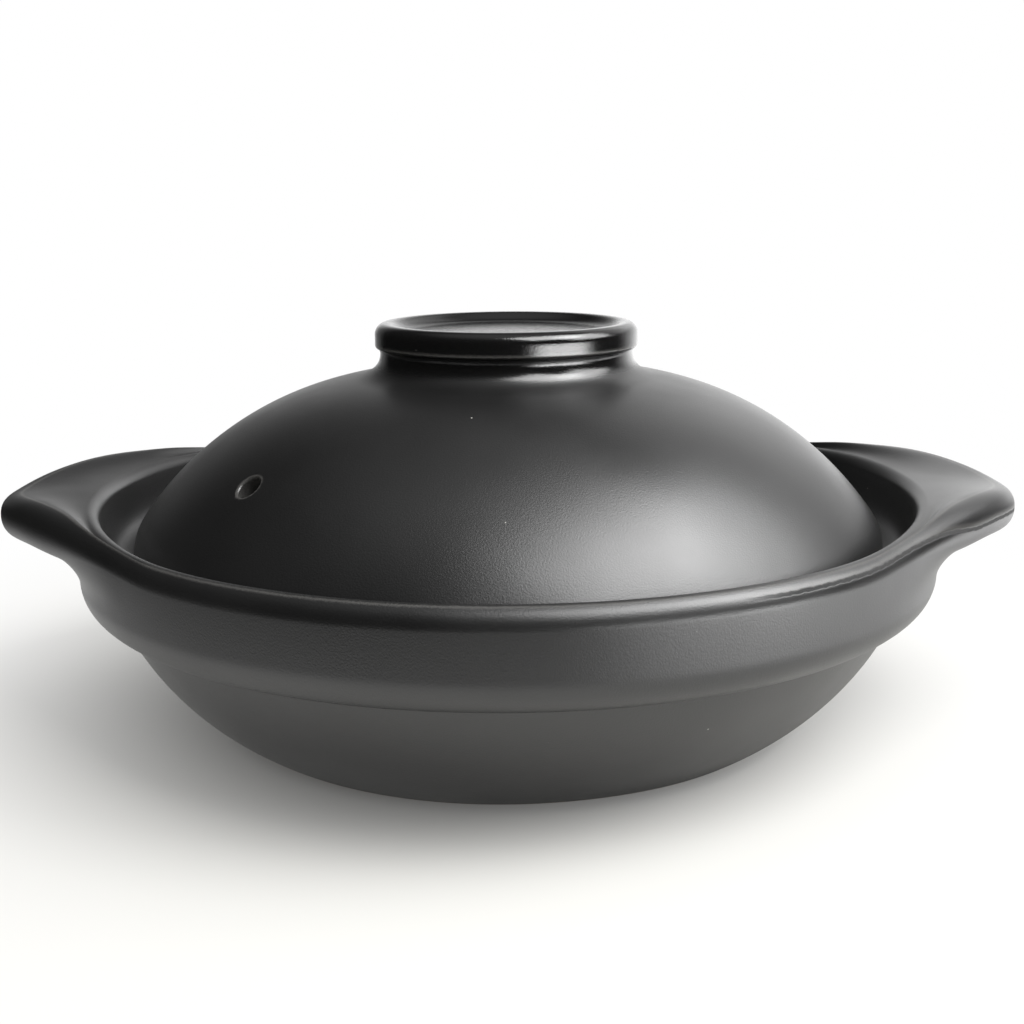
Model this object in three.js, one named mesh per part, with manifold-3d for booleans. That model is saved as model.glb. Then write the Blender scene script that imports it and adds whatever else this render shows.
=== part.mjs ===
// Clay pot: a lidded casserole of black glazed clay with two wing handles.
// Millimetres, +Z up. The origin is on the table under the middle of the foot, X runs across the handles.
import * as THREE from "three";
import { mergeVertices } from "three/addons/utils/BufferGeometryUtils.js";
import Module from "manifold-3d";

const RAD = Math.PI / 180;

// Bowl: one arc from the foot up to the step under the band.
const BAND_RADIUS = 125.7;
const RIM_HEIGHT = 63.8;
const STEP_HEIGHT = 37.8;
const STEP_INSET = 9.4;
const FOOT_RADIUS = 85.3;
const BOWL_ARC_RADIUS = 75.9;
const WALL = 8;
const FLOOR = 7;
const FLOOR_FILLET_RISE = 3.5;

// Foot: a flat unglazed ring round a shallow recess.
const FOOT_RING_WIDTH = 14;
const FOOT_RECESS = 1.5;
const FOOT_EDGE = 1;

// Band: the underside is a round that starts at the step and turns upright.
const BAND_ARC_RADIUS = 9.7;
const BAND_ARC_ANGLE = 62 * RAD;
const STEP_RISE = 0.4;

// Rim: a wide outer roll runs into a small crest roll, and a funnel wall leads down to the lid's seat.
const RIM_ROLL = 6;
const CREST_ROLL = 2.2;
const CREST_TURN = 60 * RAD;
const FUNNEL_ANGLE = 29 * RAD;
const SEAT_DEPTH = 14.3;
const SEAT_CORNER = 1.6;

// Handles: the outline of one wing in plan, from its tip to where it leaves the band.
const HANDLE_REACH = 27.2;
const HANDLE_ROOT_ANGLE = 42 * RAD;
const TIP_FULLNESS = 28;
const ROOT_SWEEP = 33;

// Handle edge: a round nose, with a hollow underside that sweeps back into the band.
const NOSE_RADIUS = 5.8;
const NOSE_BLEND = 17;
const NOSE_TUCK = 75 * RAD;
const UNDERSIDE_SWEEP = 0.6;
const UNDERSIDE_DROP = 0.14;
const WALL_LEAD = 0.66;

// Lift of the rim into the handles, and the fall again towards their tips.
const HANDLE_RISE = 4.6;
const CREST_RISE = 2.6;
const TIP_DROOP = 4.8;
const RISE_START = 46 * RAD;
const RISE_END = 22 * RAD;
const DROOP_END = 17 * RAD;

// Lid: a dome with a rounded shoulder on a flat edge, held by the seat inside the rim.
const LID_CLEARANCE = 1.6;
const SEAT_GAP = 0.3;
const LID_THICKNESS = 7;
const LID_EDGE_WIDTH = 8;
const LID_EDGE_CORNER = 0.9;
const DOME_ARC_RADIUS = 97.5;
const SHOULDER_RADIUS = 16;
const SHOULDER_ANGLE = 36 * RAD;

// Knob: a ring with an upright band, a slight neck and a dished top.
const KNOB_RADIUS = 38.8;
const KNOB_HEIGHT = 14.6;
const KNOB_BAND = 7.4;
const KNOB_EDGE = 2;
const KNOB_LOWER_EDGE = 1.1;
const KNOB_NECK = 1.5;
const KNOB_COVE = 8.5;
const COVE_FULLNESS = 0.6;
const KNOB_LIP = 3;
const DISH_DEPTH = 2.8;
const DISH_FILLET = 8;
const DISH_EASE = 0.35;
const KNOB_HOLLOW_RADIUS = 25;
const KNOB_HOLLOW_DEPTH = 8;
const KNOB_HOLLOW_CORNER = 4;

// Steam vent: one round hole square to the dome, front left.
const VENT_DIAMETER = 7;
const VENT_INSET = 20;
const VENT_ANGLE = 222.4 * RAD;
const VENT_CUT_LENGTH = 3 * LID_THICKNESS;

// Glaze: black with a satin sheen, a shade darker on the lid.
const POT_GLAZE = 0x2b2b2c;
const LID_GLAZE = 0x29292a;
const GLAZE_ROUGHNESS = 0.42;

// How finely the round shapes are stepped, round the axis and along each section.
const HANDLE_STEPS = 10;
const RIM_STEPS = 8;
const LID_STEPS = 64;
const VENT_STEPS = 20;
const LONG_ARC_STEPS = 8;
const ROUND_STEPS = 5;
const EDGE_STEPS = 3;
const WELD = 1e-4;

const point = (r, z) => new THREE.Vector2(r, z);
const mix = THREE.MathUtils.lerp;
const smooth = (value, from, to) => THREE.MathUtils.smoothstep((value - from) / (to - from), 0, 1);

// Point on a circle, counted from the outward side.
function onCircle(centre, radius, angle) {
  return point(centre.x + radius * Math.cos(angle), centre.y + radius * Math.sin(angle));
}

// Points on a circular arc, first and last included.
function arc(centre, radius, from, to, steps) {
  const points = [];
  for (let i = 0; i <= steps; i++) {
    points.push(onCircle(centre, radius, mix(from, to, i / steps)));
  }
  return points;
}

// Points on a cubic curve, first and last included.
function sweep(a, b, c, d, steps) {
  return new THREE.CubicBezierCurve(a, b, c, d).getPoints(steps);
}

// Centre of the arc of a given radius through two points, on the inner upper side of their chord.
function arcCentre(a, b, radius) {
  const chord = b.clone().sub(a);
  const back = Math.sqrt(radius ** 2 - chord.lengthSq() / 4);
  const inward = point(-chord.y, chord.x).normalize();
  return a.clone().add(b).multiplyScalar(0.5).addScaledVector(inward, back);
}

// Angle of a point seen from an arc's centre.
const angleOf = (centre, p) => Math.atan2(p.y - centre.y, p.x - centre.x);

// Sizes that follow from the ones above.
const footEdge = point(FOOT_RADIUS, 0);
const bowlTop = point(BAND_RADIUS - STEP_INSET, STEP_HEIGHT);
const bowlCentre = arcCentre(footEdge, bowlTop, BOWL_ARC_RADIUS);
const floorHeight = FOOT_RECESS + FLOOR;
const crestRadius = BAND_RADIUS - RIM_ROLL + (RIM_ROLL - CREST_ROLL) * Math.cos(CREST_TURN);
const rollLift = (RIM_ROLL - CREST_ROLL) * (1 - Math.sin(CREST_TURN));
const seatHeight = RIM_HEIGHT - SEAT_DEPTH;
const funnelDrop = SEAT_DEPTH - CREST_ROLL * (1 - Math.sin(FUNNEL_ANGLE));
const funnelTop = crestRadius - CREST_ROLL * Math.cos(FUNNEL_ANGLE);
const seatRadius = funnelTop - funnelDrop * Math.tan(FUNNEL_ANGLE);
const lidRadius = seatRadius - LID_CLEARANCE;
const lidBottom = seatHeight + SEAT_GAP;
const lidInner = lidRadius - LID_EDGE_WIDTH;
const shoulderBase = point(lidRadius - SHOULDER_RADIUS, lidBottom + LID_EDGE_CORNER);
const domeCentre = point(
  shoulderBase.x - (DOME_ARC_RADIUS - SHOULDER_RADIUS) * Math.cos(SHOULDER_ANGLE),
  shoulderBase.y - (DOME_ARC_RADIUS - SHOULDER_RADIUS) * Math.sin(SHOULDER_ANGLE),
);
const knobTop = domeCentre.y + DOME_ARC_RADIUS + KNOB_HEIGHT;

// Radius and turn of a handle's outline, from the tip to where it leaves the band.
function handleOutline() {
  const across = point(Math.cos(HANDLE_ROOT_ANGLE), Math.sin(HANDLE_ROOT_ANGLE));
  const alongBand = point(-across.y, across.x);
  const root = across.multiplyScalar(BAND_RADIUS);
  const tip = point(BAND_RADIUS + HANDLE_REACH, 0);
  const tipLead = point(tip.x, TIP_FULLNESS);
  const rootLead = root.clone().addScaledVector(alongBand, -ROOT_SWEEP);
  const points = sweep(tip, tipLead, rootLead, root, HANDLE_STEPS);
  return points.map((p) => ({ angle: Math.atan2(p.y, p.x), reach: p.length() }));
}

// How far the rim has swelled into a handle at one angle: 0 on the plain rim, 1 over the handle.
const swell = (angle) => smooth(angle, RISE_START, RISE_END);

// Height of the outer top edge: the rim lifts into the handles and drops again at their tips.
function edgeHeight(angle) {
  const droop = TIP_DROOP * (1 - smooth(angle, 0, DROOP_END));
  return RIM_HEIGHT + HANDLE_RISE * swell(angle) - droop;
}

// Centre of the crest roll above the funnel wall: it lifts less than the outer edge.
const crestCentre = (angle) => point(crestRadius, RIM_HEIGHT - CREST_ROLL + CREST_RISE * swell(angle));

// How far the edge has turned from the rim's roll into a handle's nose: 0 on the plain rim, 1 on the handle.
const noseShare = (reach) => smooth(reach - BAND_RADIUS, 0, NOSE_BLEND);

// Where the top face meets the crest roll: partly turned on the plain rim, level on a handle.
const crestTurn = (reach) => mix(CREST_TURN, 90 * RAD, noseShare(reach));

// The part of the section that is the same all round: foot, bowl, step and the band's round underside.
function lowerSection() {
  const ringInner = FOOT_RADIUS - FOOT_RING_WIDTH;
  const bowlFrom = angleOf(bowlCentre, point(FOOT_RADIUS + FOOT_EDGE, FOOT_EDGE));
  const bowlTo = angleOf(bowlCentre, bowlTop);
  const bandCentre = point(
    BAND_RADIUS - BAND_ARC_RADIUS,
    STEP_HEIGHT + STEP_RISE + BAND_ARC_RADIUS * Math.sin(BAND_ARC_ANGLE),
  );
  return [
    point(0, FOOT_RECESS),
    point(ringInner - FOOT_RECESS, FOOT_RECESS),
    point(ringInner, 0),
    point(FOOT_RADIUS - FOOT_EDGE, 0),
    ...arc(bowlCentre, BOWL_ARC_RADIUS, bowlFrom, bowlTo, LONG_ARC_STEPS),
    ...arc(bandCentre, BAND_ARC_RADIUS, -BAND_ARC_ANGLE, 0, ROUND_STEPS),
  ];
}

// Band wall, rim roll or handle nose, and top face at one angle round the axis.
function upperSection(angle, reach, wallFoot) {
  const out = noseShare(reach);
  const turn = crestTurn(reach);
  const roll = mix(RIM_ROLL, NOSE_RADIUS, out);
  const centre = point(reach - roll, edgeHeight(angle) + rollLift * (1 - out) - roll);
  const nose = arc(centre, roll, -out * NOSE_TUCK, turn, LONG_ARC_STEPS);
  const under = nose[0];
  const rise = under.y - wallFoot.y;
  const back = (under.x - wallFoot.x) * UNDERSIDE_SWEEP;
  const drop = rise * (1 - WALL_LEAD) * (1 - out) + back * UNDERSIDE_DROP;
  const wallLead = point(wallFoot.x, wallFoot.y + rise * WALL_LEAD);
  const noseLead = point(under.x - back, under.y - drop);
  const underside = sweep(wallFoot, wallLead, noseLead, under, ROUND_STEPS);
  const face = nose[nose.length - 1];
  const crest = onCircle(crestCentre(angle), CREST_ROLL, turn);
  const inward = point(-Math.sin(turn), Math.cos(turn));
  const lead = face.distanceTo(crest) / 3;
  const faceLead = face.clone().addScaledVector(inward, lead);
  const crestLead = crest.clone().addScaledVector(inward, -lead);
  const topFace = sweep(face, faceLead, crestLead, crest, EDGE_STEPS);
  return [...underside.slice(1), ...nose.slice(1), ...topFace.slice(1)];
}

// Crest roll, funnel wall, seat and the inside of the bowl at one angle round the axis.
function innerSection(angle, reach) {
  const inside = BOWL_ARC_RADIUS - WALL;
  const wallTurn = Math.acos((lidInner - SEAT_CORNER - bowlCentre.x) / inside);
  const floorTurn = Math.asin((bowlCentre.y - floorHeight - FLOOR_FILLET_RISE) / inside);
  const bowl = arc(bowlCentre, inside, -wallTurn, -floorTurn, ROUND_STEPS);
  const bowlEnd = bowl[bowl.length - 1];
  const corner = point(bowlEnd.x - FLOOR_FILLET_RISE * Math.tan(floorTurn), floorHeight);
  const floorStart = point(corner.x - corner.distanceTo(bowlEnd), floorHeight);
  const fillet = new THREE.QuadraticBezierCurve(bowlEnd, corner, floorStart).getPoints(EDGE_STEPS);
  return [
    ...arc(crestCentre(angle), CREST_ROLL, crestTurn(reach), 180 * RAD - FUNNEL_ANGLE, EDGE_STEPS).slice(1),
    point(seatRadius + SEAT_CORNER * Math.sin(FUNNEL_ANGLE), seatHeight + SEAT_CORNER),
    point(seatRadius - SEAT_CORNER, seatHeight),
    point(lidInner + SEAT_CORNER, seatHeight),
    point(lidInner, seatHeight - SEAT_CORNER),
    ...bowl,
    ...fillet.slice(1),
    point(0, floorHeight),
  ];
}

// Angles of one quarter, from a handle's tip to the middle of the front.
function quarterStations() {
  const stations = handleOutline();
  for (let i = 1; i <= RIM_STEPS; i++) {
    stations.push({ angle: mix(HANDLE_ROOT_ANGLE, 90 * RAD, i / RIM_STEPS), reach: BAND_RADIUS });
  }
  return stations;
}

// All stations once round, counter-clockwise: the quarter is mirrored across both planes.
function stationsAllRound() {
  const quarter = quarterStations();
  const there = quarter.map((s) => ({ ...s, turn: s.angle }));
  const back = quarter.slice(1, -1).reverse().map((s) => ({ ...s, turn: 180 * RAD - s.angle }));
  const half = [...there, ...back];
  return [...half, ...half.map((s) => ({ ...s, turn: s.turn + 180 * RAD }))];
}

// A closed skin through equal-length sections set round the Z axis, with a pole at each end.
function loftRound(sections) {
  const columns = sections.length;
  const rows = sections[0].points.length - 2;
  const positions = [];
  const faces = [];
  for (const { turn, points } of sections) {
    for (const p of points.slice(1, -1)) {
      positions.push(p.x * Math.cos(turn), p.x * Math.sin(turn), p.y);
    }
  }
  const first = columns * rows;
  const last = first + 1;
  const ends = sections[0].points;
  positions.push(0, 0, ends[0].y, 0, 0, ends[ends.length - 1].y);
  for (let i = 0; i < columns; i++) {
    const here = i * rows;
    const next = ((i + 1) % columns) * rows;
    faces.push(first, next, here);
    for (let j = 0; j < rows - 1; j++) {
      faces.push(here + j, next + j, next + j + 1);
      faces.push(here + j, next + j + 1, here + j + 1);
    }
    faces.push(last, here + rows - 1, next + rows - 1);
  }
  const geometry = new THREE.BufferGeometry();
  geometry.setAttribute("position", new THREE.Float32BufferAttribute(positions, 3));
  geometry.setIndex(faces);
  return geometry;
}

function potGeometry() {
  const lower = lowerSection();
  const wallFoot = lower[lower.length - 1];
  const sections = stationsAllRound().map(({ turn, angle, reach }) => ({
    turn,
    points: [...lower, ...upperSection(angle, reach, wallFoot), ...innerSection(angle, reach)],
  }));
  return loftRound(sections);
}

// Underside of the lid, from the hollow under the knob to the flat edge.
function lidInside() {
  const radius = DOME_ARC_RADIUS - LID_THICKNESS;
  const hollowTop = domeCentre.y + radius + KNOB_HOLLOW_DEPTH;
  const hollowMouth = KNOB_HOLLOW_RADIUS + KNOB_HOLLOW_CORNER;
  const from = Math.acos((hollowMouth - domeCentre.x) / radius);
  const to = Math.acos((lidInner - domeCentre.x) / radius);
  return [
    point(0, hollowTop),
    point(KNOB_HOLLOW_RADIUS - KNOB_HOLLOW_CORNER, hollowTop),
    point(KNOB_HOLLOW_RADIUS, hollowTop - KNOB_HOLLOW_CORNER),
    ...arc(domeCentre, radius, from, to, LONG_ARC_STEPS),
    point(lidInner, lidBottom + LID_EDGE_CORNER),
    point(lidInner + LID_EDGE_CORNER, lidBottom),
  ];
}

// Top of the lid, from its flat edge over shoulder and dome to the foot of the knob.
function lidOutside(neck) {
  const domeEnd = Math.acos((neck.x + KNOB_COVE - domeCentre.x) / DOME_ARC_RADIUS);
  const dome = arc(domeCentre, DOME_ARC_RADIUS, SHOULDER_ANGLE, domeEnd, LONG_ARC_STEPS);
  const top = dome[dome.length - 1];
  const lead = KNOB_COVE * COVE_FULLNESS;
  const cove = sweep(
    top,
    point(top.x - Math.sin(domeEnd) * lead, top.y + Math.cos(domeEnd) * lead),
    point(neck.x, mix(neck.y, top.y, COVE_FULLNESS)),
    neck,
    ROUND_STEPS,
  );
  return [
    point(lidRadius - LID_EDGE_CORNER, lidBottom),
    ...arc(shoulderBase, SHOULDER_RADIUS, 0, SHOULDER_ANGLE, EDGE_STEPS),
    ...dome.slice(1),
    ...cove.slice(1),
  ];
}

// Knob above its neck: lower edge, band, upper edge, lip and dish.
function knobProfile(bandFoot) {
  const lowerEdge = point(KNOB_RADIUS - KNOB_LOWER_EDGE, bandFoot + KNOB_LOWER_EDGE);
  const upperEdge = point(KNOB_RADIUS - KNOB_EDGE, knobTop - KNOB_EDGE);
  const lip = point(KNOB_RADIUS - KNOB_LIP, knobTop);
  const floor = point(lip.x - DISH_FILLET, knobTop - DISH_DEPTH);
  const middle = mix(lip.x, floor.x, DISH_EASE);
  const dish = sweep(lip, point(middle, lip.y), point(middle, floor.y), floor, ROUND_STEPS);
  return [
    ...arc(lowerEdge, KNOB_LOWER_EDGE, -90 * RAD, 0, EDGE_STEPS),
    ...arc(upperEdge, KNOB_EDGE, 0, 90 * RAD, EDGE_STEPS),
    ...dish,
    point(0, floor.y),
  ];
}

function lidGeometry() {
  const bandFoot = knobTop - KNOB_BAND;
  const neck = point(KNOB_RADIUS - KNOB_NECK, bandFoot - KNOB_LOWER_EDGE);
  const profile = [...lidInside(), ...lidOutside(neck), ...knobProfile(bandFoot)];
  const geometry = new THREE.LatheGeometry(profile, LID_STEPS);
  geometry.rotateX(90 * RAD);
  return geometry;
}

function ventGeometry() {
  const radius = lidRadius - VENT_INSET;
  const slope = Math.acos((radius - domeCentre.x) / DOME_ARC_RADIUS);
  const bore = VENT_DIAMETER / 2;
  const vent = new THREE.CylinderGeometry(bore, bore, VENT_CUT_LENGTH, VENT_STEPS);
  vent.rotateX(90 * RAD);
  vent.rotateY(90 * RAD - slope);
  vent.translate(radius, 0, domeCentre.y + DOME_ARC_RADIUS * Math.sin(slope));
  vent.rotateZ(VENT_ANGLE);
  return vent;
}

const wasm = await Module();
wasm.setup();

function solid(geometry) {
  const bare = geometry.clone();
  bare.deleteAttribute("normal");
  bare.deleteAttribute("uv");
  const merged = mergeVertices(bare, WELD);
  return new wasm.Manifold(new wasm.Mesh({
    numProp: 3,
    vertProperties: merged.attributes.position.array,
    triVerts: new Uint32Array(merged.index.array),
  }));
}

function geometryOf(body) {
  const mesh = body.getMesh();
  const geometry = new THREE.BufferGeometry();
  geometry.setAttribute("position", new THREE.BufferAttribute(mesh.vertProperties, 3));
  geometry.setIndex(new THREE.BufferAttribute(mesh.triVerts, 1));
  return geometry;
}

function piece(name, geometry, colour) {
  geometry.computeVertexNormals();
  const glaze = new THREE.MeshStandardMaterial({ color: colour, roughness: GLAZE_ROUGHNESS, metalness: 0 });
  const mesh = new THREE.Mesh(geometry, glaze);
  mesh.name = name;
  return mesh;
}

const clayPot = new THREE.Group();
clayPot.name = "clay_pot";
clayPot.add(piece("pot", potGeometry(), POT_GLAZE));
const lidBody = solid(lidGeometry()).subtract(solid(ventGeometry()));
clayPot.add(piece("lid", geometryOf(lidBody), LID_GLAZE));

export default clayPot;
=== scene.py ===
"""Clay pot: a lidded casserole of satin black glazed stoneware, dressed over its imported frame."""

import math

import bmesh
import bpy
import numpy as np
from bpy.props import FloatProperty, FloatVectorProperty, IntProperty, PointerProperty
from mathutils import Matrix, Vector, noise
from mathutils.geometry import interpolate_bezier


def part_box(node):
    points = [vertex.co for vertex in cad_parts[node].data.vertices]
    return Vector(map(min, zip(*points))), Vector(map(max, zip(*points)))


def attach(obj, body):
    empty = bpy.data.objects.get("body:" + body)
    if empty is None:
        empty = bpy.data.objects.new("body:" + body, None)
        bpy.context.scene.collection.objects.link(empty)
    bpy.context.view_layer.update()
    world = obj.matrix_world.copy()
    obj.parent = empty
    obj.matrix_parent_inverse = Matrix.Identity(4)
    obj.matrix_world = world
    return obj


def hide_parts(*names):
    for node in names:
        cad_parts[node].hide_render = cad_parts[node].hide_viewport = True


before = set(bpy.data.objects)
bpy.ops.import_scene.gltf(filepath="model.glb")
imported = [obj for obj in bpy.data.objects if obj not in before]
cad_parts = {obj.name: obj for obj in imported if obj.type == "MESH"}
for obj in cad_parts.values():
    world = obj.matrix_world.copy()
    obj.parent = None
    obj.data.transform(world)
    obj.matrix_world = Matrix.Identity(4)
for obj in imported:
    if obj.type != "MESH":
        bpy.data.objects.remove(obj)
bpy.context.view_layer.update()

bl_info = {
    "name": "Clay Pot",
    "version": (1, 0, 0),
    "blender": (4, 5, 0),
    "location": "View3D > Sidebar > Clay Pot",
    "description": "Builds a glazed clay casserole, its lid and a plain studio stage",
    "category": "Add Mesh",
}

MM = 0.001
FULL_TURN = 2 * math.pi
QUARTER_TURN = math.pi / 2
SHARP_EDGE = math.radians(40)
WELD = 0.002 * MM
OUTLINE_STEPS = 600
SOFT_STEP = {"interpolation_type": "SMOOTHSTEP"}

# A Mix node's sockets: the amount, the two numbers or colours that it mixes, and the mixed colour
AMOUNT, FROM, TO = 0, 2, 3
FROM_COLOUR, TO_COLOUR, MIXED_COLOUR = 6, 7, 2

# The glaze, in millimetres from an edge or from the mould seam: where each change starts and is full.
# A piece without a seam has it far out of reach
NO_SEAM = 1000
RUN_OFF = (0.35, 1.3)
SEAM_WANDER = 0.9
SEAM_LINE = (0.25, 0.7)
# The band above the seam, glaze trimmed thinner with a painted sheen: where it starts and where it ends
SCRAPED_AND_SHEEN_FROM = (0.2, 0.6)
SCRAPED_AND_SHEEN_TO = (1.0, 2.2)

# The glaze and the clay, as shares. The seam, and the sheen painted above it, show within these cosines
# of its place, the stretch that faces the key lamp
SEAM_SHOWS = (0.82, 0.9)
SEAM_ROUGHNESS = 0.9
RUN_OFF_SHARE = 0.8
# How far that band greys: trimmed thinner glaze, and painted sheen where the key lamp falls
SCRAPED_AND_SHEEN_SHARE = 0.5
EMPTY_CELLS = 0.55
PATCH_PER_CLOUD = 2.5
PATCH_CONTRAST = (0.3, 0.7)
ROUGHNESS_SWING = 0.05
SMOKE_CONTRAST = (0.15, 0.4)

# What reflections see: the way to each light, with the cosines where it starts and is full
TO_WALL, WALL_SPREAD = (0.0, 1.0, 0.0), (0.72, 0.8)
TO_LIT_WALL, LIT_WALL_SPREAD = (0.34, 0.94, 0.0), (0.66, 1.0)
TO_RIGHT, RIGHT_SPREAD = (0.97, -0.24, 0.0), (0.5, 1.0)
TO_POOL, POOL_SPREAD = (0.74, -0.67, 0.0), (0.86, 0.97)

# The same by height: the upward part of a way
WALL_TOP = 0.9
CEILING_START = (0.68, 1.05)

# The floor, in metres from the pot's axis: where each change starts and is full
FLOOR_RADIUS = 4.0
FLOOR_GAP = 0.2 * MM
NEAR_FLOOR_END = (0.16, 0.42)
POOL_START = (0.38, 0.46)
# SEEN_FADE and SHADOW_SHAPE place the painted white glow that lightens the pot's shadow on the seen floor
SEEN_FADE = (0.04, 0.335)
MIRRORED_FADE = (0.04, 0.28)
SHADOW_SHAPE, SHADOW_SHIFT = (1.3, 1, 1), (0.025, -0.008, 0)

# Lamps and camera, in metres and radians, with the lens in millimetres
LAMP_DISTANCE, LAMP_AIM = 0.85, 0.06
CAMERA_PLACE = (0, -0.41556, 0.1513)
CAMERA_PAN, CAMERA_TILT, CAMERA_ROLL = map(math.radians, (-0.1683, 77.212, -0.442))
LENS, SENSOR = 49.15, 36

pot_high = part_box("pot")[1]
lid_low, lid_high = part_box("lid")


def linear(hex_colour):
    """An sRGB hex colour as linear red, green and blue."""
    channels = [int(hex_colour[i : i + 2], 16) / 255 for i in (1, 3, 5)]
    return [c / 12.92 if c <= 0.04045 else ((c + 0.055) / 1.055) ** 2.4 for c in channels]


def length(name, description, metres):
    return FloatProperty(name=name, description=description, default=metres, unit="LENGTH", precision=5)


def turn(name, description, degrees):
    return FloatProperty(name=name, description=description, default=math.radians(degrees), unit="ROTATION")


def share(name, description, value):
    return FloatProperty(name=name, description=description, default=value, min=0, max=1, subtype="FACTOR")


def number(name, description, value):
    return FloatProperty(name=name, description=description, default=value, min=0)


def power(name, description, value):
    return FloatProperty(name=name, description=description, default=value, min=0, unit="POWER")


def count(name, description, value):
    return IntProperty(name=name, description=description, default=value, min=3)


def colour(name, description, hex_colour):
    return FloatVectorProperty(
        name=name, description=description, default=linear(hex_colour), subtype="COLOR", min=0, max=1
    )


class PotSizes(bpy.types.PropertyGroup):
    """Sizes of the pot: bowl, band, rim, lid seat and the two wing handles."""

    band_radius: length("Band Radius", "Outside of the upright band", pot_high.y)
    handle_tip: length("Handle Tip", "From the axis to the tip of a handle", pot_high.y + 25.4 * MM)
    rim_height: length("Rim Height", "Top of the plain rim above the table", 63.8 * MM)
    step_height: length("Step Height", "Underside of the band above the table", 37.8 * MM)
    step_inset: length("Step Inset", "How far the bowl is set in under the band", 9.4 * MM)
    step_rise: length("Step Rise", "Lift from the bowl to the start of the band", 0.4 * MM)
    foot_radius: length("Foot Radius", "Outer edge of the flat foot", 85.3 * MM)
    foot_ring: length("Foot Ring", "Width of the bare ring the pot stands on", 14 * MM)
    foot_recess: length("Foot Recess", "Depth of the recess inside the foot ring", 1.5 * MM)
    foot_edge: length("Foot Edge", "Rounding between foot and bowl", 1 * MM)
    bowl_arc: length("Bowl Arc", "Radius of the bowl's side in section", 75.9 * MM)
    wall: length("Wall", "Thickness of the bowl's side", 8 * MM)
    floor: length("Floor", "Thickness of the bowl's bottom", 7 * MM)
    floor_fillet: length("Floor Fillet", "Height of the round between side and bottom", 3.5 * MM)
    band_arc: length("Band Arc", "Round on the band's lower edge", 9.7 * MM)
    band_turn: turn("Band Turn", "How far that round turns", 62)
    rim_roll: length("Rim Roll", "Outer round of the rim", 6 * MM)
    crest_roll: length("Crest Roll", "Small round on top of the rim", 2.2 * MM)
    handle_crest_roll: length("Handle Crest Roll", "That round beside a handle", 3.4 * MM)
    crest_turn: turn("Crest Turn", "Where the outer round runs into the small one", 60)
    funnel_turn: turn("Funnel Turn", "Slope of a straight line from the crest to the seat's outer edge", 29)
    wall_lean: turn("Wall Lean", "Slope of the steep upper wall that leads the lid to its seat", 3)
    cove_drop: length("Cove Drop", "How far that wall stays steep", 12 * MM)
    cove_foot: length("Cove Foot", "How far its foot sweeps in along the seat", 5 * MM)
    seat_depth: length("Seat Depth", "From the rim down to the lid's seat", 14.3 * MM)
    seat_inner: length("Seat Inner Edge", "From the axis to the seat's inner edge", lid_high.x - 8 * MM)
    seat_corner: length("Seat Corner", "Corner of the seat", 1.6 * MM)
    handle_root: turn("Handle Root", "Where a handle leaves the band, from its middle", 41.3)
    tip_fullness: length("Tip Fullness", "How broad a handle's tip is", 30.7 * MM)
    root_sweep: length("Root Sweep", "How long a handle runs along the band", 48 * MM)
    nose_radius: length("Nose Radius", "Round on a handle's edge", 6.4 * MM)
    nose_squareness: number("Nose Squareness", "2 is a round nose, more is squarer", 2.25)
    nose_blend: length("Nose Blend", "Reach over which the rim turns into a handle's nose", 11.7 * MM)
    nose_tuck: turn("Nose Tuck", "How far the nose turns under", 75)
    underside_sweep: share("Underside Sweep", "How far the hollow under a handle runs back", 0.5)
    underside_drop: share("Underside Drop", "Fall of the underside towards the band", 0.14)
    wall_lead: share("Wall Lead", "How far the band stays upright under a handle", 0.42)
    handle_rise: length("Handle Rise", "Lift of a handle's edge over the rim", 5.35 * MM)
    crest_rise: length("Crest Rise", "Lift of the inner crest beside a handle", 2.6 * MM)
    tip_droop: length("Tip Droop", "Fall of a handle's edge at its tip", 2.8 * MM)
    seam_rise: length("Seam Rise", "Mould seam above the start of the rim's roll", 3.3 * MM)
    rise_start: turn("Rise Start", "Where the rim starts to lift", 47)
    rise_end: turn("Rise End", "Where it has lifted fully", 16)
    droop_end: turn("Droop End", "How far the tip's fall reaches", 16)
    unevenness: length("Unevenness", "Height of the slow unevenness of a hand-worked shape", 0.25 * MM)
    uneven_width: length("Uneven Width", "Width of that unevenness", 45 * MM)
    around: count("Steps Around", "Sections once round the pot", 360)


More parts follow.
